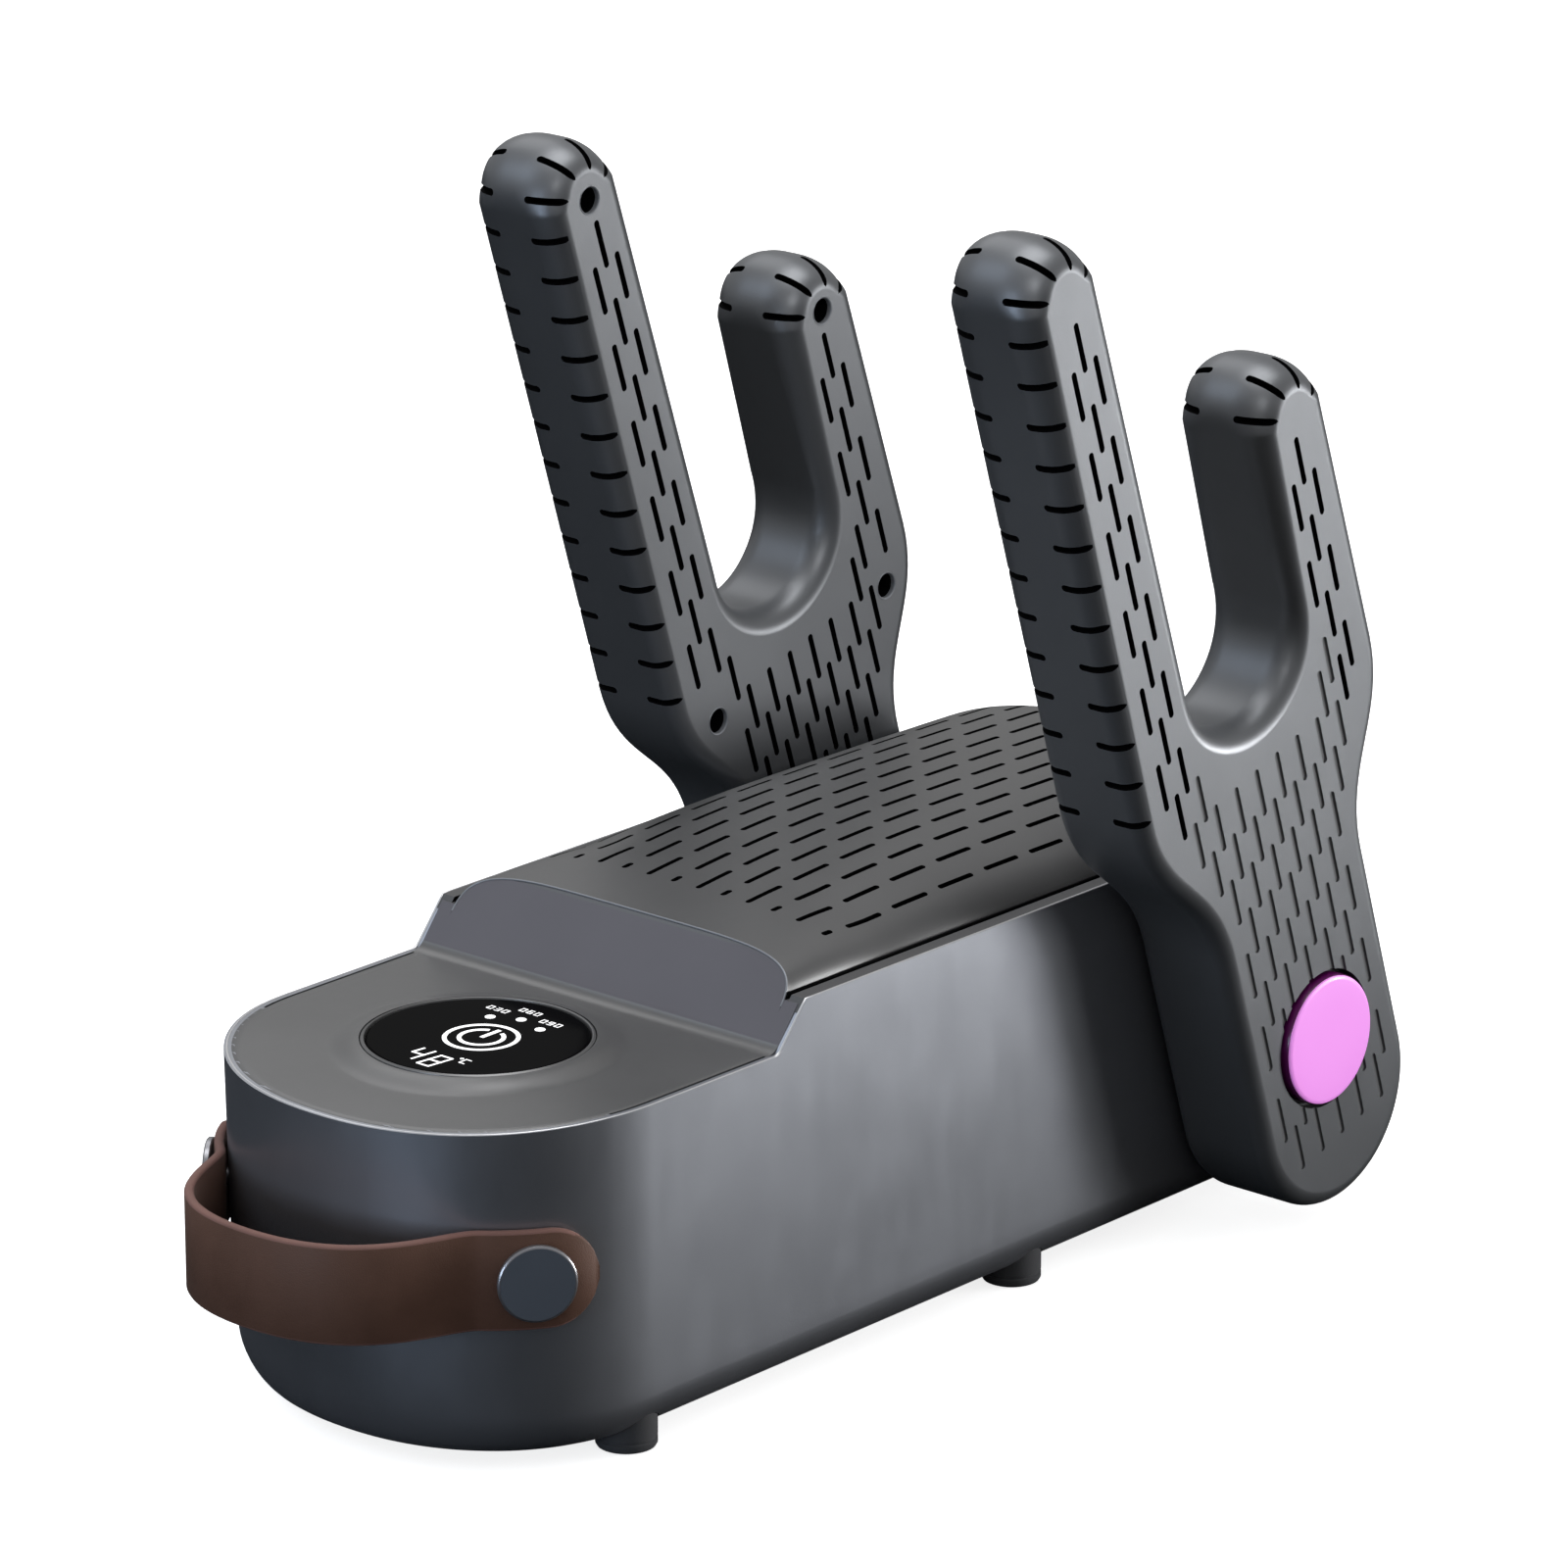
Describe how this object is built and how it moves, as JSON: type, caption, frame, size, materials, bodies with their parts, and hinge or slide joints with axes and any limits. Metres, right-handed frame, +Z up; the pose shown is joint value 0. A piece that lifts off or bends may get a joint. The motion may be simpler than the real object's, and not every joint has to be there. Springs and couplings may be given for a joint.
{
  "type": "boot dryer",
  "caption": "Heated blower on four feet with a control deck, a vented top, a leather carry strap and forked air arms that fold down beside the body.",
  "frame": {"origin": "on the plane the feet stand on, below the middle of the whole object", "axes": "+Z up, -Y towards the strap and the control deck, +X towards the right arm as seen from the controls"},
  "size_m": [0.185, 0.3356, 0.2785],
  "materials": {
    "body_plastic": "satin gunmetal grey",
    "deck_plastic": "satin dark grey",
    "grille_plastic": "satin dark grey",
    "arm_plastic": "fine matt slate",
    "pink_cap": "glossy orchid pink",
    "black_plastic": "moulded black",
    "display_glass": "polished black window with white markings",
    "strap_leather": "dark brown, smooth",
    "rivet_metal": "slate coloured, bright rim",
    "foot_rubber": "matt dark grey",
    "steel": "plain",
    "circuit_board": "green laminate",
    "heater_ceramic": "pale ceramic"
  },
  "bodies": {
    "body": {"air_duct": "black_plastic", "base_plate": "body_plastic", "base_screw_front_left": "steel", "base_screw_front_right": "steel", "base_screw_rear_left": "steel", "base_screw_rear_right": "steel", "body_shell": "body_plastic", "control_deck": "deck_plastic", "display_bezel": "body_plastic", "display_board": "circuit_board", "display_lens": "display_glass", "fan_housing": "black_plastic", "fan_motor": "steel", "foot_front_left": "foot_rubber", "foot_front_right": "foot_rubber", "foot_rear_left": "foot_rubber", "foot_rear_right": "foot_rubber", "friction_washer_left": "steel", "friction_washer_right": "steel", "heater_element": "heater_ceramic", "heater_frame": "steel", "hinge_bush_left": "black_plastic", "hinge_bush_right": "black_plastic", "inlet_pin_left": "steel", "inlet_pin_right": "steel", "power_board": "circuit_board", "power_inlet": "black_plastic", "rivet_washer_left": "steel", "rivet_washer_right": "steel", "strap": "strap_leather", "strap_rivet_left": "rivet_metal", "strap_rivet_right": "rivet_metal", "top_grille": "grille_plastic"},
    "arm_right": {"arm_inner_shell_right": "arm_plastic", "arm_outer_shell_right": "arm_plastic", "arm_screw_right_1": "steel", "arm_screw_right_2": "steel", "arm_screw_right_3": "steel", "arm_screw_right_4": "steel", "hinge_tube_right": "black_plastic", "cap_seat_right": "black_plastic", "pivot_cap_right": "pink_cap"},
    "arm_left": {"arm_inner_shell_left": "arm_plastic", "arm_outer_shell_left": "arm_plastic", "arm_screw_left_1": "steel", "arm_screw_left_2": "steel", "arm_screw_left_3": "steel", "arm_screw_left_4": "steel", "hinge_tube_left": "black_plastic", "cap_seat_left": "black_plastic", "pivot_cap_left": "pink_cap"},
    "fan": {"fan_impeller": "black_plastic"}
  },
  "joints": [
    {"name": "arm_hinge_right", "type": "hinge", "parent": "body", "child": "arm_right", "pos_m": [0.062, 0.1268, 0.0529], "axis": [1, 0, 0], "range_deg": [-18, 72]},
    {"name": "arm_hinge_left", "type": "hinge", "parent": "body", "child": "arm_left", "pos_m": [-0.062, 0.1268, 0.0529], "axis": [1, 0, 0], "range_deg": [-18, 72]},
    {"name": "fan_spin", "type": "hinge", "parent": "body", "child": "fan", "pos_m": [0, 0.006, 0.043], "axis": [0, 0, 1], "continuous": true}
  ]
}
